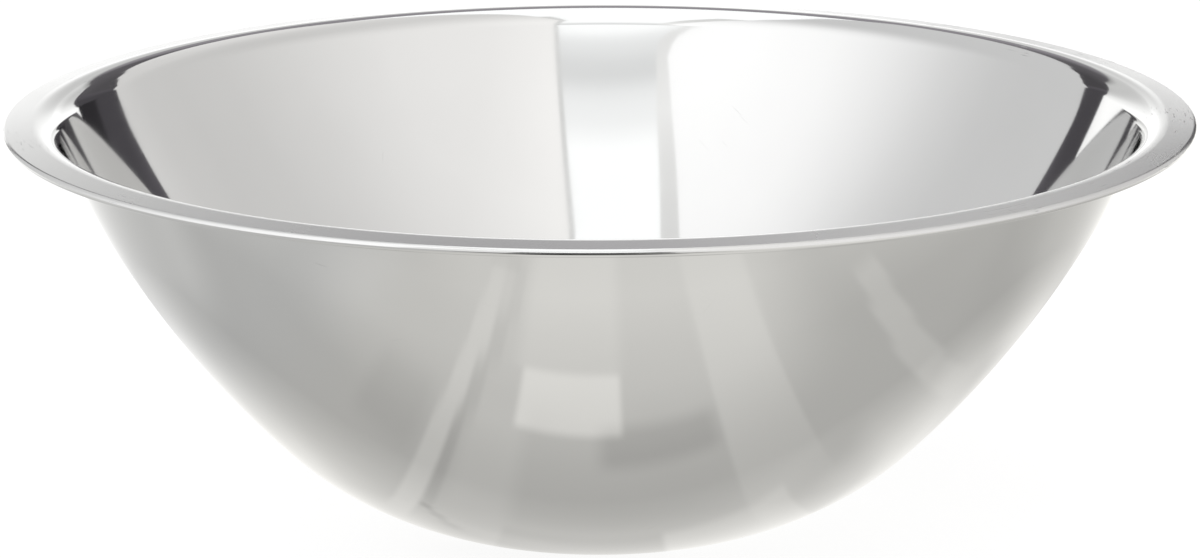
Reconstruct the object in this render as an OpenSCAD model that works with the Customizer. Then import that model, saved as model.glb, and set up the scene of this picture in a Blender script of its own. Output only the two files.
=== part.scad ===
// Stainless steel mixing bowl, pressed from one disc of sheet steel.
// It has a flat base, a soft corner and a knuckle below a round wall, then a shoulder,
// a flange about the mouth and a hollow bead curled under the edge of the flange.
// The sheet is one piece all the way, so its middle is followed from the centre of the
// base to the end of the curl, and half the sheet is laid on each side of that line.
// The bowl stands on z = 0, with its axis on Z.

/* [Overall size] */
// Diameter over the bead at the mouth
rim_d = 337; // [315:1:365]
// Height from the table to the crest of the rim
height = 118; // [108:0.5:130]
// Thickness of the steel sheet
sheet = 0.6; // [0.4:0.05:0.8]

/* [Base] */
// Diameter of the flat that the bowl stands on
base_d = 79; // [60:1:100]
// Radius of the soft corner round the flat
corner_r = 45; // [35:1:55]
// Slope of the sheet where the corner ends, in degrees
corner_slope = 16.5; // [13:0.5:21]

/* [Knuckle and wall] */
// Radius of the knuckle that turns the sheet up, as a share of the rim's diameter
knuckle_share = 0.29; // [0.25:0.005:0.33]
// Radius of the wall, seen in section, as a share of the rim's diameter
wall_share = 0.82; // [0.72:0.01:0.92]

/* [Rim] */
// Width of the rim, from its crest to its outer edge
flange_w = 8.3; // [6.5:0.1:11]
// Angle by which the flange falls towards its edge, in degrees
flange_fall = 4.5; // [0:0.5:8]
// Radius of the shoulder between the wall and the flange
shoulder_r = 8; // [6:0.25:10]
// Diameter of the bead over its outside
bead_d = 2.2; // [1.8:0.1:3]
// Angle through which the edge is curled to make the bead
curl_turn = 280; // [240:5:300]

/* [Hidden] */

// Longest flat in a drawn curve, the most that the slope turns at one flat,
// and the number of sides that the bowl has round its axis in a preview
flat_l = 3;
flat_turn = 5;
round_sides = 180;

// A point of the sheet's middle is [distance from the axis, height, slope in degrees].
// An arc's radius is above zero where the sheet bends up and below zero where it bends
// down. The arc leaves its first point out, because the stretch before it ends there.
function arc_centre(start, radius) =
    [start.x - radius * sin(start.z), start.y + radius * cos(start.z)];
function arc_steps(radius, turn) =
    ceil(max(abs(radius * turn) * PI / 180 / flat_l, abs(turn) / flat_turn));
function arc(centre, radius, from, to) =
    let (steps = arc_steps(radius, to - from))
    [for (i = [1 : steps]) let (slope = from + (to - from) * i / steps)
        [centre.x + radius * sin(slope), centre.y - radius * cos(slope), slope]];
function last(points) = points[len(points) - 1];

// Flat base and soft corner
base_edge = [base_d / 2, sheet / 2, 0];
base = [[0, sheet / 2, 0], base_edge];
corner = arc(arc_centre(base_edge, corner_r), corner_r, 0, corner_slope);

// The wall leaves the knuckle in line and meets the shoulder in line, so its centre is
// wall_r - knuckle_r from the knuckle's centre and wall_r + shoulder_r from the shoulder's
knuckle_r = rim_d * knuckle_share;
wall_r = rim_d * wall_share;
knuckle_c = arc_centre(last(corner), knuckle_r);
shoulder_c = [rim_d / 2 - flange_w, height - sheet / 2 - shoulder_r];
span = shoulder_c - knuckle_c;
span_l = norm(span);
along = (pow(span_l, 2) + pow(wall_r - knuckle_r, 2) - pow(wall_r + shoulder_r, 2)) / (2 * span_l);
aside = sqrt(pow(wall_r - knuckle_r, 2) - pow(along, 2));
wall_c = knuckle_c + (along * span + aside * [-span.y, span.x]) / span_l;
knuckle_slope = atan2(knuckle_c.x - wall_c.x, wall_c.y - knuckle_c.y);
wall_slope = atan2(shoulder_c.x - wall_c.x, wall_c.y - shoulder_c.y);
knuckle = arc(knuckle_c, knuckle_r, corner_slope, knuckle_slope);
wall = arc(wall_c, wall_r, knuckle_slope, wall_slope);

// The shoulder turns the sheet out, and the flange runs straight from it to the bead
shoulder = arc(shoulder_c, -shoulder_r, wall_slope, -flange_fall);
flange_start = last(shoulder);
bead_r = (bead_d - sheet) / 2;
bead_start_r = rim_d / 2 - bead_d / 2 + bead_r * sin(flange_fall);
flange_drop = (bead_start_r - flange_start.x) * tan(flange_fall);
flange = [[bead_start_r, flange_start.y - flange_drop, -flange_fall]];

// The edge is curled down, back and up again round a hollow core
curl = arc(arc_centre(last(flange), -bead_r), -bead_r, -flange_fall, -flange_fall - curl_turn);

sheet_path = concat(base, corner, knuckle, wall, shoulder, flange, curl);

// One face of the sheet, at a distance from its middle that is above zero on the outside
function sheet_face(distance) =
    [for (p = sheet_path) [p.x + distance * sin(p.z), p.y - distance * cos(p.z)]];
function reversed(points) = [for (i = [len(points) - 1 : -1 : 0]) points[i]];

module sheet_section() {
    polygon(concat(sheet_face(sheet / 2), reversed(sheet_face(-sheet / 2))));
}

module bowl() {
    color([0.76, 0.76, 0.75])
        rotate_extrude($fn = round_sides)
            sheet_section();
}

bowl();
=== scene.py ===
"""Stainless steel mixing bowl: its polished sheet, on a white table in a soft light tent."""

from math import atan2, ceil, cos, degrees, hypot, pi, radians, sin, sqrt, tan

import bpy
from mathutils import Matrix, Vector


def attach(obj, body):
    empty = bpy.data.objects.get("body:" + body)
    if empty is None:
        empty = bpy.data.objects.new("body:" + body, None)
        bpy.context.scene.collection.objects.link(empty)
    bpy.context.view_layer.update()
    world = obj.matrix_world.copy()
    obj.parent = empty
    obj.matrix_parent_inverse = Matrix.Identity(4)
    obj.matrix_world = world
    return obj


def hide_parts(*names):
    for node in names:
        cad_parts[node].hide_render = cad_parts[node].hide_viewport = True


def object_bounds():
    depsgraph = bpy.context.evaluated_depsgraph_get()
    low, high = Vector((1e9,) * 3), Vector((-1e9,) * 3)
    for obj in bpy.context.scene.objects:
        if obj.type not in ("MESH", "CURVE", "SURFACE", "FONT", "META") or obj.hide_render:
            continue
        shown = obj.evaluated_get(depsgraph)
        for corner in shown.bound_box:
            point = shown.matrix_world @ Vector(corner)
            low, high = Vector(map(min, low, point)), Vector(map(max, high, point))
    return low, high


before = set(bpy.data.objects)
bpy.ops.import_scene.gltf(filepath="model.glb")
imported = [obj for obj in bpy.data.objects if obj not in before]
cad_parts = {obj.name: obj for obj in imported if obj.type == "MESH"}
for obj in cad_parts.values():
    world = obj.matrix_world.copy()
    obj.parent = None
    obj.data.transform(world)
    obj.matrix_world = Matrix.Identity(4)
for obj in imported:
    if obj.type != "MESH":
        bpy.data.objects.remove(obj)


def corners(box):
    """A box's lowest and highest corner as plain lists."""
    return [list(corner) for corner in box]


cad_box = corners(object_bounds())

# Sizes of the pressed sheet in metres and degrees, as in the construction drawing
RIM_R = cad_box[1][0]
HEIGHT = cad_box[1][2]
SHEET = 0.0006
BASE_R = 0.0395
CORNER_R = 0.045
CORNER_SLOPE = 16.5
KNUCKLE_R = 2 * RIM_R * 0.29
WALL_R = 2 * RIM_R * 0.82
FLANGE_W = 0.0083
FLANGE_FALL = 4.5
SHOULDER_R = 0.008
BEAD_D = 0.0022
CURL_TURN = 280

# How finely the smooth sheet is drawn
FLAT_L = 0.0025
FLAT_TURN = 4
SIDES = 384

# The mesh's two material slots
INSIDE = 0
OUTSIDE = 1

# The steel's colour, and what polish, press and wear add to its roughness, tone and height
STEEL = (0.76, 0.76, 0.75)
BAND_ROUGH = 0.03
SMEAR_ROUGH = 0.02
SCRATCH_ROUGH = 0.08
SCUFF_ROUGH = 0.3
SMEAR_TONE = -0.012
SCRATCH_TONE = -0.1
SCUFF_TONE = -0.22
WAVE_HEIGHT = 0.00003
SCRATCH_HEIGHT = -0.000001

# The photograph's frame in pixels, and the camera that sees the bowl as it does
FRAME_W = 1200
FOCAL_PX = 4741.8
SENSOR_W = 36
CAMERA_PLACE = Vector((0, -1.31906, 0.39527))
CAMERA_PITCH = -13.924
CAMERA_ROLL = -0.2
CAMERA_NEAR = 0.05
CAMERA_FAR = 50

# How strong the white world is as a light, where it is 1 to the eye and in the steel
WORLD_LIGHT = 0.75

# The studio in metres: its roof and the cards that lie over it, the walls, and the bend
# between the roof and the tent's side walls as the centre's (x, z) and the radius
ROOF_Z = 1.0
FRAMES_Z = 1.001
GAP_Z = 1.01
DARK_ROOF_Z = 1.02
GAP_HALF_W = 0.45
GAP_BACK_Y = 0.95
DARK_HALF_W = 1.9
FRONT_Y = -2.2
BACK_Y = 1.22
DARK_BACK_Y = 1.52
BEND_C = (0.50, 0.84)
BEND_R = 0.16

# The tent's edges beside the gap in its roof, as (y, x) from front to back
RIGHT_EDGE = (
    (-2, 0.39), (-1, 0.215), (-0.38, 0.108), (0, 0.1), (0.5, 0.09), (1.15, 0.07))
LEFT_EDGE = (
    (-0.985, 0.45), (-0.96, 0.375), (-0.93, 0.34), (-0.88, 0.31), (-0.68, 0.295),
    (-0.35, 0.282), (0, 0.27), (0.3, 0.22), (0.7, 0.12), (1.13, 0.05))

# Where the tent's side walls end at the back, as (z, y) downwards
RIGHT_BELOW = (
    (0.67, 0.99), (0.45, 0.83), (0.34, 0.822), (0.325, 0.797), (0.31, 0.77), (0, 0.76))
LEFT_BELOW = (
    (0.67, 0.99), (0.45, 0.85), (0.333, 0.85), (0.325, 0.842), (0.316, 0.815), (0.3, 0.79),
    (0, 0.78))

# The table: how far it reaches from the axis, the centre and half widths of the painted shade
# that the steel mirrors in it, and its tones to the eye and as a thing that sends light on
TABLE_REACH = 12
SHADE_C = (0.0066, 0.0891)
SHADE_R = (0.1965, 0.1632)
TABLE_GLOW = 0.82
TABLE_PAPER = 0.3
TABLE_PLAIN = 0.8

# Painted light and shade that the steel mirrors in the table. Each is a rectangle's left,
# right, front and back, how soft its sides and its ends are, and the change of tone inside it.
PAINTED_PATCHES = (
    # Broad painted light and shade in front of the bowl, beside it and behind it
    (-0.149, 0.1, -2, -0.119, 0.06, 0.06, 0.153),
    (-0.149, 0.1, -2, -0.22, 0.06, 0.06, -0.04),
    (-0.149, -0.063, -2, -0.149, 0.09, 0.09, -0.12),
    (-2, -0.149, -2, -0.149, 0.09, 0.09, -0.04),
    (0.104, 2, -2, -0.196, 0.03, 0.03, 0.17),
    (0.16, 2, -2, -0.18, 0.06, 0.05, 0.08),
    (0.122, 0.5, 0, 2, 0.03, 0.05, -0.04),
    (0.1, 0.152, 0.03, 0.14, 0.03, 0.05, -0.13),
    (-2, -0.18, -0.03, 2, 0.06, 0.06, 0.15),
    (0.19, 2, 0, 2, 0.08, 0.08, 0.19),
    (-0.1, 0.1, 0.14, 2, 0.06, 0.06, -0.3),
    (-0.105, -0.06, -0.02, 0.1, 0.03, 0.03, 0.05),
    (-0.05, -0.01, -0.055, -0.035, 0.02, 0.01, -0.06),
    # A painted dark tone far in front
    (-0.19, 0.17, -2, -0.43, 0.03, 0.03, -0.72),
    (-0.08, 0.07, -0.43, -0.31, 0.02, 0.02, -0.6),
    # The painted slanted strip of light left of the middle, with its painted dark edge and hook
    (-0.0675, -0.0590, -0.115, -0.045, 0.003, 0.03, 0.11),
    (-0.0655, -0.0570, -0.145, -0.115, 0.003, 0.03, 0.10),
    (-0.0635, -0.0530, -0.175, -0.145, 0.003, 0.03, 0.08),
    (-0.061, -0.053, -0.205, -0.175, 0.004, 0.03, 0.05),
    (-0.0590, -0.0545, -0.115, -0.06, 0.003, 0.02, -0.07),
    (-0.0570, -0.0505, -0.145, -0.115, 0.003, 0.02, -0.06),
    (-0.0525, -0.0455, -0.170, -0.145, 0.003, 0.02, -0.05),
    (-0.0475, -0.0410, -0.205, -0.170, 0.003, 0.02, -0.04),
    (-0.062, -0.0455, -0.210, -0.199, 0.004, 0.006, -0.04),
    # Soft painted tones beside that strip
    (-0.1, -0.0635, -0.23, -0.185, 0.02, 0.04, 0.03),
    (-0.053, -0.03, -0.125, -0.07, 0.01, 0.02, 0.05),
    (-0.1, -0.071, -0.125, -0.08, 0.01, 0.02, -0.04),
    # The painted block of light in the middle, with the painted tones beyond it and beside it
    (-0.0345, 0.0085, -0.147, -0.118, 0.004, 0.006, 0.2),
    (-0.038, 0.009, -0.26, -0.147, 0.01, 0.006, 0.06),
    (0.000, 0.046, -0.122, -0.104, 0.010, 0.010, -0.10),
    # The painted strip of light right of the middle
    (0.048, 0.081, -0.165, -0.07, 0.003, 0.07, 0.07),
    (0.0465, 0.083, -0.26, -0.15, 0.005, 0.06, 0.045),
    (0.06, 0.095, -0.065, -0.02, 0.02, 0.02, -0.08),
    # The painted crescent of light at the right
    (0.1375, 0.154, -0.145, -0.12, 0.005, 0.02, 0.08),
    (0.1335, 0.151, -0.12, -0.085, 0.005, 0.02, 0.09),
    (0.1300, 0.148, -0.085, -0.04, 0.005, 0.02, 0.08),
    (0.129, 0.145, -0.04, 0, 0.006, 0.03, 0.05),
    # Painted light and darker tones close to the base, and the painted dark line at its left
    (0.0185, 0.062, -0.068, 0.02, 0.003, 0.008, 0.07),
    (-0.03, 0.0185, -0.068, 0.02, 0.003, 0.008, -0.05),
    (-0.0585, -0.0535, -0.0615, -0.058, 0.004, 0.003, -0.10),
    (-0.054, -0.048, -0.059, -0.0545, 0.004, 0.003, -0.08),
    (-0.049, -0.042, -0.0555, -0.051, 0.005, 0.004, -0.05),
)


# ---------------------------------------------------------------- the sheet's path

def arc_centre(start, radius):
    """Centre of the arc that leaves start, a point [distance from axis, height, slope], in line."""
    slope = radians(start[2])
    return start[0] - radius * sin(slope), start[1] + radius * cos(slope)


def arc(centre, radius, first, last):
    """Points of an arc from one slope to the other, without its first point."""
    turn = last - first
    steps = ceil(max(abs(radius * radians(turn)) / FLAT_L, abs(turn) / FLAT_TURN))
    points = []
    for i in range(1, steps + 1):
        slope = first + turn * i / steps
        x = centre[0] + radius * sin(radians(slope))
        z = centre[1] - radius * cos(radians(slope))
        points.append((x, z, slope))
    return points


def line(start, end):
    """Points along a straight stretch of the sheet, without its first point."""
    length = hypot(end[0] - start[0], end[1] - start[1])
    steps = ceil(length / FLAT_L)
    return [
        (start[0] + (end[0] - start[0]) * i / steps,
         start[1] + (end[1] - start[1]) * i / steps,
         end[2])
        for i in range(1, steps + 1)
    ]


def sheet_path():
    """Middle of the sheet from the base's centre to the end of the curl.

    The second value says how many of its points are the body's, before the shoulder."""
    centre = (0, SHEET / 2, 0)
    base = line(centre, (BASE_R, SHEET / 2, 0))
    corner = arc(arc_centre(base[-1], CORNER_R), CORNER_R, 0, CORNER_SLOPE)

    # The wall leaves the knuckle in line and meets the shoulder in line
    knuckle_c = arc_centre(corner[-1], KNUCKLE_R)
    shoulder_c = (RIM_R - FLANGE_W, HEIGHT - SHEET / 2 - SHOULDER_R)
    span = (shoulder_c[0] - knuckle_c[0], shoulder_c[1] - knuckle_c[1])
    span_l = hypot(*span)
    to_knuckle = WALL_R - KNUCKLE_R
    to_shoulder = WALL_R + SHOULDER_R
    along = (span_l ** 2 + to_knuckle ** 2 - to_shoulder ** 2) / (2 * span_l)
    aside = sqrt(to_knuckle ** 2 - along ** 2)
    wall_c = (
        knuckle_c[0] + (along * span[0] - aside * span[1]) / span_l,
        knuckle_c[1] + (along * span[1] + aside * span[0]) / span_l,
    )
    knuckle_slope = degrees(atan2(knuckle_c[0] - wall_c[0], wall_c[1] - knuckle_c[1]))
    wall_slope = degrees(atan2(shoulder_c[0] - wall_c[0], wall_c[1] - shoulder_c[1]))
    knuckle = arc(knuckle_c, KNUCKLE_R, CORNER_SLOPE, knuckle_slope)
    wall = arc(wall_c, WALL_R, knuckle_slope, wall_slope)

    # The shoulder turns out, the flange runs straight to the bead, and the bead curls under
    shoulder = arc(shoulder_c, -SHOULDER_R, wall_slope, -FLANGE_FALL)
    bead_r = (BEAD_D - SHEET) / 2
    bead_x = RIM_R - BEAD_D / 2 + bead_r * sin(radians(FLANGE_FALL))
    drop = (bead_x - shoulder[-1][0]) * tan(radians(FLANGE_FALL))
    flange = line(shoulder[-1], (bead_x, shoulder[-1][1] - drop, -FLANGE_FALL))
    bead_c = arc_centre(flange[-1], -bead_r)
    curl = arc(bead_c, -bead_r, -FLANGE_FALL, -FLANGE_FALL - CURL_TURN)

    body = [centre] + base + corner + knuckle + wall
    rim = shoulder + flange + curl
    return body + rim, len(body)


def sheet_face(path, distance):
    """One face of the sheet, at a distance from its middle that is above zero on the outside."""
    return [
        (max(0, x + distance * sin(radians(slope))), z - distance * cos(radians(slope)))
        for x, z, slope in path
    ]


def face_looks(path, side):
    """Which way one face of the sheet looks at each point, with side 1 on the outside."""
    return [(side * sin(radians(slope)), -side * cos(radians(slope))) for _, _, slope in path]


def lengths(points):
    """Distance along a row of points, from its first."""
    run = [0]
    for (x0, z0), (x1, z1) in zip(points[:-1], points[1:]):
        run.append(run[-1] + hypot(x1 - x0, z1 - z0))
    return run


def ring_vert(ring, side):
    """Number of a point on a ring, after the two points on the axis."""
    return 2 + ring * SIDES + side % SIDES


def sheet_faces(run, outer_body):
    """Faces through the rings of points, with their material slots and places on the sheet.

    run gives each ring's distance along the sheet from the axis, and outer_body says how
    many rings of faces are the body's outside."""
    last = len(run) - 1
    faces = []
    slots = []
    uvs = []
    for side in range(SIDES):
        u0 = side / SIDES
        u1 = (side + 1) / SIDES
        faces.append((0, ring_vert(0, side), ring_vert(0, side + 1)))
        slots.append(OUTSIDE)
        uvs.append(((u0, 0), (u0, run[0]), (u1, run[0])))
        faces.append((1, ring_vert(last, side + 1), ring_vert(last, side)))
        slots.append(INSIDE)
        uvs.append(((u0, 0), (u1, run[-1]), (u0, run[-1])))
        for ring in range(last):
            faces.append((
                ring_vert(ring, side),
                ring_vert(ring + 1, side),
                ring_vert(ring + 1, side + 1),
                ring_vert(ring, side + 1),
            ))
            slots.append(OUTSIDE if ring < outer_body else INSIDE)
            low = run[ring]
            high = run[ring + 1]
            uvs.append(((u0, low), (u0, high), (u1, high), (u1, low)))
    return faces, slots, uvs


def make_bowl(inside, outside):
    """The whole sheet as one closed, smooth mesh, turned about the axis."""
    path, body_count = sheet_path()
    outer = sheet_face(path, SHEET / 2)
    inner = sheet_face(path, -SHEET / 2)
    section = outer[1:] + inner[:0:-1]
    run = lengths(outer)[1:] + lengths(inner)[:0:-1]
    looks = face_looks(path, 1)[1:] + face_looks(path, -1)[:0:-1]

    verts = [(0, 0, outer[0][1]), (0, 0, inner[0][1])]
    normals = [(0, 0, -1), (0, 0, 1)]
    for (x, z), (out, up) in zip(section, looks):
        for side in range(SIDES):
            turn = 2 * pi * side / SIDES
            verts.append((x * sin(turn), x * cos(turn), z))
            normals.append((out * sin(turn), out * cos(turn), up))
    faces, slots, uvs = sheet_faces(run, body_count - 1)

    mesh = bpy.data.meshes.new("bowl_sheet")
    mesh.from_pydata(verts, [], faces)
    mesh.materials.append(inside)
    mesh.materials.append(outside)
    mesh.polygons.foreach_set("material_index", slots)
    layer = mesh.uv_layers.new(name="sheet")
    layer.uv.foreach_set("vector", [value for face in uvs for uv in face for value in uv])
    mesh.shade_smooth()
    mesh.update()
    mesh.normals_split_custom_set_from_vertices(normals)
    bowl = bpy.data.objects.new("bowl_sheet", mesh)
    bpy.context.scene.collection.objects.link(bowl)
    return bowl


# ---------------------------------------------------------------- materials

class Nodes:
    """A short way to add and join nodes in one tree."""

    def __init__(self, tree):
        self.tree = tree

    def add(self, kind, **settings):
        node = self.tree.nodes.new(kind)
        for name, value in settings.items():
            setattr(node, name, value)
        return node

    def join(self, source, target):
        self.tree.links.new(source, target)

    def feed(self, socket, value):
        """Sets a socket to a value, or links it where the value is another socket."""
        if isinstance(value, bpy.types.NodeSocket):
            self.join(value, socket)
        else:
            socket.default_value = value

    def math(self, operation, first, second=None):
        node = self.add("ShaderNodeMath", operation=operation)
        self.feed(node.inputs[0], first)
        if second is not None:
            self.feed(node.inputs[1], second)
        return node.outputs[0]

    def plus_share(self, total, value, share):
        """total + value * share."""
        return self.math("ADD", total, self.math("MULTIPLY", value, share))

    def ease(self, value, low, high, to_low=0.0, to_high=1.0):
        """A smooth step from to_low to to_high as value goes from low to high."""
        node = self.add("ShaderNodeMapRange", interpolation_type="SMOOTHSTEP")
        for name, given in (("Value", value), ("From Min", low), ("From Max", high),
                            ("To Min", to_low), ("To Max", to_high)):
            self.feed(node.inputs[name], given)
        return node.outputs["Result"]

    def ramp(self, value, low, high, stops):
        """A value read from a list of (place, tone), with places from low to high."""
        top = max(tone for _, tone in stops)
        place = self.add("ShaderNodeMapRange")
        self.feed(place.inputs["Value"], value)
        place.inputs["From Min"].default_value = low
        place.inputs["From Max"].default_value = high
        ramp = self.add("ShaderNodeValToRGB")
        self.join(place.outputs["Result"], ramp.inputs["Fac"])
        elements = ramp.color_ramp.elements
        while len(elements) < len(stops):
            elements.new(1)
        for element, (where, tone) in zip(elements, stops):
            element.position = (where - low) / (high - low)
            grey = tone / top
            element.color = (grey, grey, grey, 1)
        return self.math("MULTIPLY", ramp.outputs["Color"], top)


def new_group(name, inputs, outputs):
    """An empty shader node group with named float inputs and outputs."""
    tree = bpy.data.node_groups.new(name, "ShaderNodeTree")
    for socket, value in inputs:
        made = tree.interface.new_socket(socket, in_out="INPUT", socket_type="NodeSocketFloat")
        made.default_value = value
    for socket in outputs:
        tree.interface.new_socket(socket, in_out="OUTPUT", socket_type="NodeSocketFloat")
    nodes = Nodes(tree)
    source = nodes.add("NodeGroupInput")
    target = nodes.add("NodeGroupOutput")
    return nodes, source.outputs, target.inputs


def here(nodes):
    """The place that is being shaded, as X, Y and Z."""
    apart = nodes.add("ShaderNodeSeparateXYZ")
    position = nodes.add("ShaderNodeNewGeometry").outputs["Position"]
    nodes.join(position, apart.inputs["Vector"])
    return apart.outputs


def from_axis(nodes):
    """How far from the bowl's axis the place that is being shaded is."""
    flat = nodes.add("ShaderNodeVectorMath", operation="MULTIPLY")
    position = nodes.add("ShaderNodeNewGeometry").outputs["Position"]
    nodes.join(position, flat.inputs[0])
    flat.inputs[1].default_value = (1, 1, 0)
    reach = nodes.add("ShaderNodeVectorMath", operation="LENGTH")
    nodes.join(flat.outputs["Vector"], reach.inputs[0])
    return reach.outputs["Value"]


def sheet_places(nodes, round_scale, along_scale):
    """Places on the sheet, stretched round the bowl and along the path from its base."""
    uv = nodes.add("ShaderNodeUVMap", uv_map="sheet")
    apart = nodes.add("ShaderNodeSeparateXYZ")
    nodes.join(uv.outputs["UV"], apart.inputs["Vector"])
    places = nodes.add("ShaderNodeCombineXYZ")
    nodes.feed(places.inputs["X"], nodes.math("MULTIPLY", apart.outputs["X"], round_scale))
    nodes.feed(places.inputs["Y"], nodes.math("MULTIPLY", apart.outputs["Y"], along_scale))
    return places.outputs["Vector"]


def noise(nodes, vector, scale, detail, roughness=0.5):
    """Soft noise from 0 to 1, mostly near 0.5."""
    made = nodes.add("ShaderNodeTexNoise")
    nodes.feed(made.inputs["Vector"], vector)
    nodes.feed(made.inputs["Scale"], scale)
    made.inputs["Detail"].default_value = detail
    made.inputs["Roughness"].default_value = roughness
    return made.outputs["Fac"]


def polish_lines_group():
    """Fine lines that the polishing wheel leaves round the bowl."""
    nodes, given, made = new_group("polish lines", [("Lines per metre", 3000)], ["Lines", "Bands"])
    places = sheet_places(nodes, 9, given["Lines per metre"])
    nodes.join(noise(nodes, places, 1, 3, 0.6), made["Lines"])
    broad = sheet_places(nodes, 3, 160)
    nodes.join(noise(nodes, broad, 1, 2), made["Bands"])
    return nodes.tree


def hairlines_group():
    """Sparse hairline scratches from use, in several directions."""
    nodes, given, made = new_group("hairlines", [("Share", 0.5)], ["Scratches"])
    position = nodes.add("ShaderNodeNewGeometry").outputs["Position"]
    total = None
    for number, angle in enumerate((0.3, 1.4, 2.5)):
        turned = nodes.add("ShaderNodeVectorRotate", rotation_type="EULER_XYZ")
        nodes.join(position, turned.inputs["Vector"])
        turned.inputs["Rotation"].default_value = (angle, 0.5 * angle, 2 * angle)
        stretched = nodes.add("ShaderNodeVectorMath", operation="MULTIPLY")
        nodes.join(turned.outputs["Vector"], stretched.inputs[0])
        stretched.inputs[1].default_value = (70, 3200, 70)
        fine = nodes.ease(noise(nodes, stretched.outputs["Vector"], 1, 1), 0.69, 0.74)
        patch = noise(nodes, turned.outputs["Vector"], 38 + 7 * number, 2)
        share = nodes.math("SUBTRACT", 1.1, given["Share"])
        high = nodes.math("ADD", share, 0.06)
        kept = nodes.math("MULTIPLY", fine, nodes.ease(patch, share, high))
        total = kept if total is None else nodes.math("MAXIMUM", total, kept)
    nodes.join(total, made["Scratches"])
    return nodes.tree


def handling_group():
    """Faint marks of handling and of the press: smears, specks and slow waves in the sheet."""
    nodes, given, made = new_group(
        "handling marks", [("Wave height", WAVE_HEIGHT)], ["Smears", "Specks", "Waves"])
    position = nodes.add("ShaderNodeNewGeometry").outputs["Position"]
    smears = noise(nodes, position, 26, 4, 0.55)
    nodes.join(nodes.ease(smears, 0.42, 0.7), made["Smears"])
    specks = noise(nodes, sheet_places(nodes, 150, 1500), 1, 3)
    where = noise(nodes, position, 34, 3)
    nodes.join(
        nodes.math("MULTIPLY", nodes.ease(specks, 0.58, 0.66), nodes.ease(where, 0.52, 0.6)),
        made["Specks"],
    )
    waves = nodes.math("SUBTRACT", noise(nodes, position, 19, 1), 0.5)
    nodes.join(nodes.math("MULTIPLY", waves, given["Wave height"]), made["Waves"])
    return nodes.tree


def place_group(nodes, group, **values):
    """Places a group. Each value's name is its input's, with _ for a space."""
    placed = nodes.add("ShaderNodeGroup")
    placed.node_tree = group
    for name, value in values.items():
        nodes.feed(placed.inputs[name.replace("_", " ")], value)
    return placed.outputs


def flange_wear(nodes, specks):
    """Wear of stacking on the flange and bead: how worn the steel is, and its scuffs."""
    place = here(nodes)

    # The worn strip goes further down the bead at the left and right of the bowl
    down = nodes.ramp(place["X"], -0.17, 0.17, [
        (-0.17, 0.0042), (-0.1, 0.0036), (-0.05, 0.0021), (0.05, 0.0021), (0.1, 0.0036),
        (0.17, 0.0042)])
    on_flange = nodes.ease(place["Z"], nodes.math("SUBTRACT", HEIGHT, down), HEIGHT - 0.0009)

    # In front the wear starts inside the crest, and behind only at the crest
    crest_r = RIM_R - FLANGE_W
    from_r = nodes.ease(place["Y"], -0.06, 0.04, crest_r - 0.004, crest_r - 0.0005)
    to_r = nodes.ease(place["Y"], -0.06, 0.04, crest_r - 0.0005, crest_r + 0.002)
    worn = nodes.ramp(place["X"], -0.17, 0.17, [
        (-0.17, 0.3), (-0.14, 0.5), (-0.1, 0.6), (-0.04, 0.3), (0.02, 0.3), (0.07, 0.8),
        (0.13, 0.8), (0.17, 0.5)])
    worn = nodes.math("MULTIPLY", worn, nodes.ease(from_axis(nodes), from_r, to_r))
    worn = nodes.math("MULTIPLY", worn, on_flange)

    # Most of the scuffs are to the right
    share = nodes.ease(place["X"], -0.02, 0.1, 0.25, 1)
    scuffs = nodes.math("MULTIPLY", specks, nodes.math("MULTIPLY", on_flange, share))
    return worn, scuffs


def steel(name, groups, finish):
    """Polished stainless steel. finish holds the values in which the two faces differ."""
    material = bpy.data.materials.new(name)
    material.use_nodes = True
    nodes = Nodes(material.node_tree)
    shader = material.node_tree.nodes["Principled BSDF"]
    shader.inputs["Metallic"].default_value = 1
    lines = place_group(nodes, groups["lines"], Lines_per_metre=finish["lines"])
    scratches = place_group(nodes, groups["hairlines"], Share=finish["scratches"])["Scratches"]
    marks = place_group(nodes, groups["handling"], Wave_height=WAVE_HEIGHT)
    worn, scuffs = flange_wear(nodes, marks["Specks"])

    rough = nodes.plus_share(finish["rough"], lines["Bands"], BAND_ROUGH)
    rough = nodes.plus_share(rough, marks["Smears"], SMEAR_ROUGH)
    rough = nodes.plus_share(rough, scratches, SCRATCH_ROUGH)
    rough = nodes.plus_share(rough, scuffs, SCUFF_ROUGH)
    rough = nodes.plus_share(rough, worn, finish["flange_rough"])
    nodes.join(rough, shader.inputs["Roughness"])

    tone = nodes.plus_share(1, scratches, SCRATCH_TONE)
    tone = nodes.plus_share(tone, scuffs, SCUFF_TONE)
    tone = nodes.plus_share(tone, marks["Smears"], SMEAR_TONE)
    colour = nodes.add("ShaderNodeVectorMath", operation="SCALE")
    colour.inputs[0].default_value = STEEL
    nodes.join(tone, colour.inputs["Scale"])
    nodes.join(colour.outputs["Vector"], shader.inputs["Base Color"])

    height = nodes.plus_share(marks["Waves"], lines["Lines"], finish["line_height"])
    height = nodes.plus_share(height, scratches, SCRATCH_HEIGHT)
    bump = nodes.add("ShaderNodeBump")
    bump.inputs["Distance"].default_value = 1
    nodes.join(height, bump.inputs["Height"])
    nodes.join(bump.outputs["Normal"], shader.inputs["Normal"])
    return material


# ---------------------------------------------------------------- studio

def camera_sees(nodes):
    """1 where the camera, a reflection or a glass looks, and 0 for light that falls on things."""
    path = nodes.add("ShaderNodeLightPath")
    looks = nodes.math("MAXIMUM", path.outputs["Is Camera Ray"], path.outputs["Is Glossy Ray"])
    return nodes.math("MAXIMUM", looks, path.outputs["Is Transmission Ray"])


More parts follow.
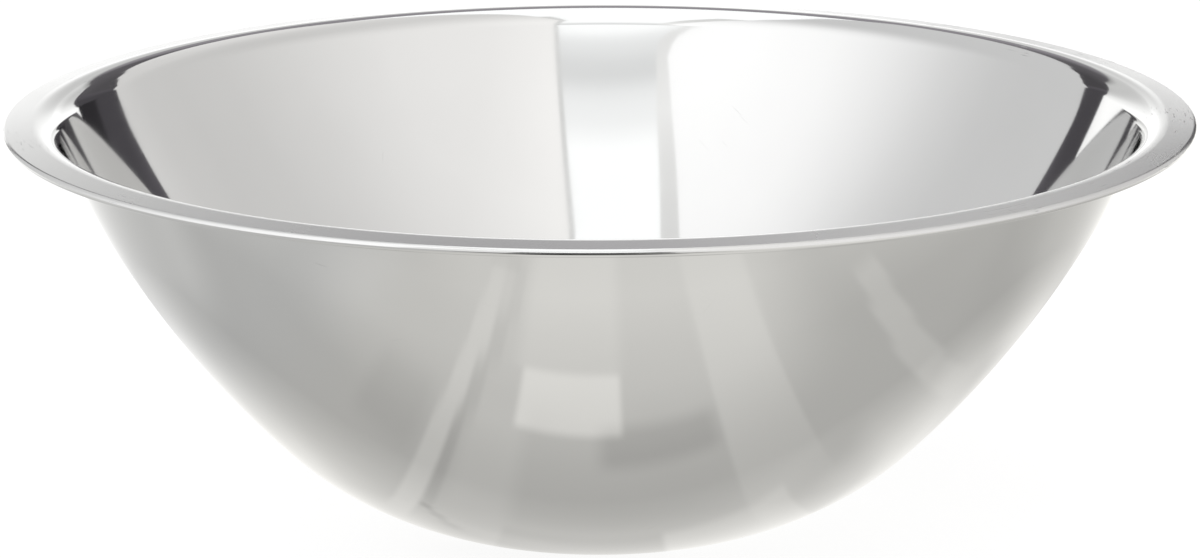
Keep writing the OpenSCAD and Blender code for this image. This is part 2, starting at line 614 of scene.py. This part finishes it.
def make_camera():
    """The camera that sees the bowl as the photograph does."""
    pitch = radians(CAMERA_PITCH)
    roll = radians(CAMERA_ROLL)
    ahead = Vector((0, cos(pitch), sin(pitch)))
    level = Vector((1, 0, 0))
    above = level.cross(ahead)
    side = cos(roll) * level + sin(roll) * above
    top = cos(roll) * above - sin(roll) * level
    data = bpy.data.cameras.new("photo_camera")
    data.sensor_width = SENSOR_W
    data.lens = SENSOR_W * FOCAL_PX / FRAME_W
    data.clip_start = CAMERA_NEAR
    data.clip_end = CAMERA_FAR
    camera = bpy.data.objects.new("photo_camera", data)
    turned = Matrix((side, top, -ahead)).transposed().to_4x4()
    camera.matrix_world = Matrix.Translation(CAMERA_PLACE) @ turned
    bpy.context.scene.collection.objects.link(camera)
    bpy.context.scene.camera = camera


def make_world():
    """White to the eye and in reflections, and a little softer as a light."""
    world = bpy.data.worlds.new("white_room")
    world.use_nodes = True
    nodes = Nodes(world.node_tree)
    background = world.node_tree.nodes["Background"]
    background.inputs["Color"].default_value = (1, 1, 1, 1)
    strength = nodes.ease(camera_sees(nodes), 0, 1, WORLD_LIGHT, 1)
    nodes.join(strength, background.inputs["Strength"])
    bpy.context.scene.world = world


def glow(name, tones, tint=(1, 1, 1), strength=1):
    """A lit card. Each of tones, (axis, low, high, stops), multiplies its strength."""
    material = bpy.data.materials.new(name)
    material.use_nodes = True
    material.node_tree.nodes.remove(material.node_tree.nodes["Principled BSDF"])
    nodes = Nodes(material.node_tree)
    for axis, low, high, stops in tones:
        tone = nodes.ramp(here(nodes)[axis], low, high, stops)
        strength = nodes.math("MULTIPLY", strength, tone)
    light = nodes.add("ShaderNodeEmission")
    light.inputs["Color"].default_value = (*tint, 1)
    nodes.feed(light.inputs["Strength"], strength)
    output = material.node_tree.nodes["Material Output"]
    nodes.join(light.outputs["Emission"], output.inputs["Surface"])
    return material


def card(name, rows, material):
    """A sheet of card through rows of points, which only reflections and light meet."""
    count = len(rows[0])
    verts = [point for row in rows for point in row]
    faces = [
        (i * count + j, i * count + j + 1, (i + 1) * count + j + 1, (i + 1) * count + j)
        for i in range(len(rows) - 1)
        for j in range(count - 1)
    ]
    mesh = bpy.data.meshes.new(name)
    mesh.from_pydata(verts, [], faces)
    mesh.materials.append(material)
    made = bpy.data.objects.new(name, mesh)
    bpy.context.scene.collection.objects.link(made)
    made.visible_camera = False


def tent_side(name, side, inner_edge, back_edge, below, material):
    """One half of the tent: a roof sheet from its inner edge, bent down into a side wall.

    side is 1 for the right half and -1 for the left one. inner_edge gives the edge beside
    the gap as (y, x) from front to back. back_edge gives the y at which the sheet ends, for
    the inner edge, the roof's outer part and the side wall's top, and below gives (z, y) for
    the rest of the side wall, downwards."""
    bend_x, bend_z = BEND_C
    inner_y, roof_y, top_y = back_edge
    across = [(None, ROOF_Z, inner_y), (bend_x, ROOF_Z, roof_y)]
    for turn in range(15, 91, 15):
        x = bend_x + BEND_R * sin(radians(turn))
        z = bend_z + BEND_R * cos(radians(turn))
        across.append((x, z, roof_y + (top_y - roof_y) * turn / 90))
    for z, y_end in below:
        across.append((bend_x + BEND_R, z, y_end))
    front = inner_edge[0][0]
    back = inner_edge[-1][0]
    rows = []
    for y, x_inner in inner_edge:
        share = (y - front) / (back - front)
        rows.append([
            (side * (x_inner if x is None else x), front + share * (y_end - front), z)
            for x, z, y_end in across
        ])
    card(name, rows, material)


def make_tent():
    """The two halves of the tent, which the steel mirrors as its large light panels."""
    right_tone = glow("right_card", (
        ("Y", -2, 1.2, [
            (-2, 1.09), (-0.9, 1.08), (-0.6, 1.065), (-0.4, 1.035), (-0.2, 0.96), (0, 0.865),
            (0.2, 0.78), (0.4, 0.75), (0.6, 0.765), (0.8, 0.83), (1.2, 0.85)]),
        ("X", 0, 0.7, [(0, 1.13), (0.15, 1.12), (0.3, 1.06), (0.5, 1.0), (0.7, 0.98)]),
    ), tint=(1, 0.99, 0.985))
    left_tone = glow("left_card", (
        ("Y", -2, 1.2, [
            (-2, 1.33), (-0.7, 1.32), (-0.4, 1.27), (-0.3, 1.24), (-0.2, 1.18), (-0.1, 1.10),
            (0, 1.0), (0.1, 0.89), (0.2, 0.81), (0.3, 0.755), (0.4, 0.735), (1.2, 0.74)]),
    ), tint=(1, 1, 1.01))
    tent_side("tent_right", 1, RIGHT_EDGE, (1.15, 1.3, 1.18), RIGHT_BELOW, right_tone)
    tent_side("tent_left", -1, LEFT_EDGE, (1.13, 1.28, 1.16), LEFT_BELOW, left_tone)


def make_roof():
    """The edges of the gap in the tent's roof, the light in it and the dark roof behind it."""
    edge_tone = glow("card_edge", (), strength=0.82)
    frame_tone = glow("card_frames", (
        ("Y", -1.1, -0.3, [
            (-1.1, 1.0), (-0.95, 1.0), (-0.8, 1.05), (-0.69, 1.1), (-0.56, 1.0), (-0.4, 0.92),
            (-0.3, 0.88)]),
    ))
    gap_tone = glow("roof_gap", (
        ("Y", -1.1, 0, [
            (-1.1, 1.35), (-1.035, 1.34), (-1.0, 1.12), (-0.97, 1.05), (-0.93, 1.0),
            (-0.9, 0.94), (-0.85, 0.91), (-0.82, 0.96), (-0.78, 1.08), (-0.74, 1.14),
            (-0.68, 1.18), (-0.64, 1.26), (-0.6, 1.35)]),
    ), tint=(0.985, 0.995, 1.005))
    dark_tone = glow("dark_roof", (
        ("X", -0.8, 0.8, [
            (-0.8, 0.08), (-0.3, 0.13), (-0.12, 0.25), (0, 0.36), (0.06, 0.3), (0.2, 0.14),
            (0.8, 0.1)]),
    ), tint=(1, 0.95, 1.03))

    edge = [[(x - 0.02, y, FRAMES_Z), (x, y, FRAMES_Z)] for y, x in RIGHT_EDGE[:4]]
    card("edge_right", edge, edge_tone)
    # The frame's outer side is a little further forward at its front end
    outer_x = (-0.44, -0.34, -0.285, -0.262, -0.232, -0.214, -0.21)
    forward = (0.02, 0.03, 0.03, 0.03, 0, 0, 0)
    frame_rows = [
        [(-x, y, FRAMES_Z), (outer, y - ahead, FRAMES_Z)]
        for (y, x), outer, ahead in zip(LEFT_EDGE, outer_x, forward)
    ]
    card("frame_left", frame_rows, frame_tone)
    gap_rows = [[(-GAP_HALF_W, y, GAP_Z), (GAP_HALF_W, y, GAP_Z)] for y in (-2, GAP_BACK_Y)]
    card("gap", gap_rows, gap_tone)
    # The dark roof goes on from the gap's back end and bends down, as (y, z)
    bent = ((GAP_BACK_Y, DARK_ROOF_Z), (1.5, DARK_ROOF_Z), (1.5, 0.65))
    card("dark_roof", [[(-DARK_HALF_W, y, z), (DARK_HALF_W, y, z)] for y, z in bent], dark_tone)


def make_walls():
    """The dark wall and the light card behind the bowl, and the dark card in front of it."""
    dark_tone = glow("dark_room", (
        ("Z", 0, 1, [
            (0, 0.025), (0.33, 0.035), (0.36, 0.075), (0.5, 0.08), (0.62, 0.11), (1, 0.13)]),
    ), tint=(1, 0.94, 1.05))
    back_tone = glow("back_card", (
        ("Z", 0, 0.7, [
            (0, 1.29), (0.26, 1.28), (0.31, 1.18), (0.375, 1.05), (0.44, 0.84), (0.5, 0.73),
            (0.56, 0.69), (0.61, 0.7), (0.65, 0.7), (0.67, 0.58), (0.7, 0.38)]),
        ("X", -0.05, 0.2, [(-0.05, 1.0), (0.03, 1.05), (0.07, 1.2), (0.13, 1.15), (0.2, 1.0)]),
    ))
    front_tone = glow("front_card", (("Z", 0, 1, [(0, 0.05), (0.7, 0.08), (1, 0.6)]),))

    dark_rows = [
        [(-DARK_HALF_W, DARK_BACK_Y, z), (DARK_HALF_W, DARK_BACK_Y, z)] for z in (0, 0.75)]
    card("dark_back", dark_rows, dark_tone)
    card("front", [[(-0.6, FRONT_Y, z), (0.5, FRONT_Y, z)] for z in (0.1, 1.02)], front_tone)
    # The light card's outline as (z, left, right), upwards
    outline = (
        (0, -0.8, 0.5), (0.25, -0.8, 0.5), (0.33, -0.76, 0.43), (0.41, -0.68, 0.37),
        (0.48, -0.63, 0.345), (0.54, -0.565, 0.34), (0.6, -0.50, 0.33), (0.65, -0.45, 0.31),
        (0.7, -0.4, 0.28))
    back_rows = [[(left, BACK_Y, z), (right, BACK_Y, z)] for z, left, right in outline]
    card("back", back_rows, back_tone)


def soft_patch_group():
    """1 inside a rectangle on the table and 0 outside it, with soft sides and ends."""
    names = ("X", "Y", "Left", "Right", "Front", "Back", "Sides", "Ends")
    nodes, given, made = new_group("soft patch", [(name, 0) for name in names], ["Inside"])

    def between(value, low, high, soft):
        half = nodes.math("MULTIPLY", soft, 0.5)
        up = nodes.ease(value, nodes.math("SUBTRACT", low, half), nodes.math("ADD", low, half))
        down = nodes.ease(value, nodes.math("SUBTRACT", high, half), nodes.math("ADD", high, half))
        return nodes.math("SUBTRACT", up, down)

    across = between(given["X"], given["Left"], given["Right"], given["Sides"])
    along = between(given["Y"], given["Front"], given["Back"], given["Ends"])
    nodes.join(nodes.math("MULTIPLY", across, along), made["Inside"])
    return nodes.tree


def painted_shade_and_light(nodes, x, y):
    """Painted light and shade of the table where the steel mirrors it."""
    # Painted shade of the bowl round its base, and painted light gathering behind it
    shade_x = nodes.math("DIVIDE", nodes.math("SUBTRACT", x, SHADE_C[0]), SHADE_R[0])
    shade_y = nodes.math("DIVIDE", nodes.math("SUBTRACT", y, SHADE_C[1]), SHADE_R[1])
    squares = nodes.math("ADD", nodes.math("POWER", shade_x, 2), nodes.math("POWER", shade_y, 2))
    tone = nodes.ramp(nodes.math("SQRT", squares), 0.3, 2.1, [
        (0.3, 1.3), (0.5, 1.22), (0.6, 1.14), (0.68, 1.09), (0.76, 0.99), (0.83, 0.90),
        (0.9, 0.78), (0.96, 0.68), (1.03, 0.59), (1.1, 0.52), (1.2, 0.53), (1.45, 0.555),
        (1.7, 0.65), (2.1, 0.65)])
    tone = nodes.math("ADD", tone, nodes.ease(y, 0, 0.4, 0, 0.7))
    tone = nodes.math("MULTIPLY", tone, nodes.ease(y, -0.07, 0.04, 1, 0.86))

    # Painted soft tones of the room on it, and painted long strips of light between the cards
    group = soft_patch_group()
    for left, right, front, back, sides, ends, change in PAINTED_PATCHES:
        patch = place_group(
            nodes, group, X=x, Y=y, Left=left, Right=right, Front=front, Back=back,
            Sides=sides, Ends=ends)
        tone = nodes.plus_share(tone, patch["Inside"], change)
    return tone


def painted_reflection_light(nodes):
    """The table's painted light and shade in the steel: warm to the right and plain to the left."""
    place = here(nodes)
    tint = nodes.add("ShaderNodeMix", data_type="VECTOR")
    nodes.join(nodes.ease(place["X"], -0.17, -0.09), tint.inputs["Factor"])
    tint.inputs["A"].default_value = (1, 0.998, 0.99)
    tint.inputs["B"].default_value = (1, 0.988, 0.958)
    light = nodes.add("ShaderNodeEmission")
    nodes.join(tint.outputs["Result"], light.inputs["Color"])
    nodes.join(painted_shade_and_light(nodes, place["X"], place["Y"]), light.inputs["Strength"])
    return light.outputs["Emission"]


def diffuse(nodes, tone):
    """A matt grey."""
    shader = nodes.add("ShaderNodeBsdfDiffuse")
    shader.inputs["Color"].default_value = (tone, tone, tone, 1)
    return shader.outputs["BSDF"]


def mix(nodes, share, first, second):
    """The first shader where share is 0, and the second where it is 1."""
    mixed = nodes.add("ShaderNodeMixShader")
    nodes.join(share, mixed.inputs["Fac"])
    nodes.join(first, mixed.inputs[1])
    nodes.join(second, mixed.inputs[2])
    return mixed.outputs["Shader"]


def table_material():
    """White to the eye, painted light and shade in the steel, and clear from below."""
    material = bpy.data.materials.new("white_table")
    material.use_nodes = True
    tree = material.node_tree
    tree.nodes.remove(tree.nodes["Principled BSDF"])
    nodes = Nodes(tree)
    path = nodes.add("ShaderNodeLightPath")

    # To the eye the table is white, and the light that falls on it draws the shadow
    white = nodes.add("ShaderNodeEmission")
    white.inputs["Strength"].default_value = TABLE_GLOW
    seen = nodes.add("ShaderNodeAddShader")
    nodes.join(white.outputs["Emission"], seen.inputs[0])
    nodes.join(diffuse(nodes, TABLE_PAPER), seen.inputs[1])
    surface = mix(
        nodes, path.outputs["Is Camera Ray"], diffuse(nodes, TABLE_PLAIN), seen.outputs["Shader"])
    # In reflections the table shows painted light and shade instead of its lit surface
    surface = mix(nodes, path.outputs["Is Glossy Ray"], surface, painted_reflection_light(nodes))

    # From below the table is clear, so that the underside can be looked at
    clear = nodes.add("ShaderNodeBsdfTransparent").outputs["BSDF"]
    behind = nodes.add("ShaderNodeNewGeometry").outputs["Backfacing"]
    from_below = nodes.math("MULTIPLY", behind, path.outputs["Is Camera Ray"])
    surface = mix(nodes, from_below, surface, clear)
    nodes.join(surface, tree.nodes["Material Output"].inputs["Surface"])
    return material


def make_table():
    """A wide white table. It keeps the bowl's shadow, and the steel mirrors its painted light and
    shade.
    """
    reach = TABLE_REACH
    corners_xy = ((-reach, -reach), (reach, -reach), (reach, reach), (-reach, reach))
    mesh = bpy.data.meshes.new("table")
    mesh.from_pydata([(x, y, 0) for x, y in corners_xy], [], [(0, 1, 2, 3)])
    mesh.materials.append(table_material())
    table = bpy.data.objects.new("table", mesh)
    bpy.context.scene.collection.objects.link(table)


bpy.context.scene.view_settings.view_transform = "Standard"
make_camera()
make_world()
make_tent()
make_roof()
make_walls()
make_table()

groups = {
    "lines": polish_lines_group(),
    "hairlines": hairlines_group(),
    "handling": handling_group(),
}
bright = steel("steel_bright", groups, {
    "lines": 2600, "scratches": 0.40, "rough": 0.035, "flange_rough": 0.34,
    "line_height": 0.0000003})
soft = steel("steel_soft", groups, {
    "lines": 2200, "scratches": 0.42, "rough": 0.045, "flange_rough": 0,
    "line_height": 0.0000006})

bowl = make_bowl(bright, soft)
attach(bowl, "root")
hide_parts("bowl")
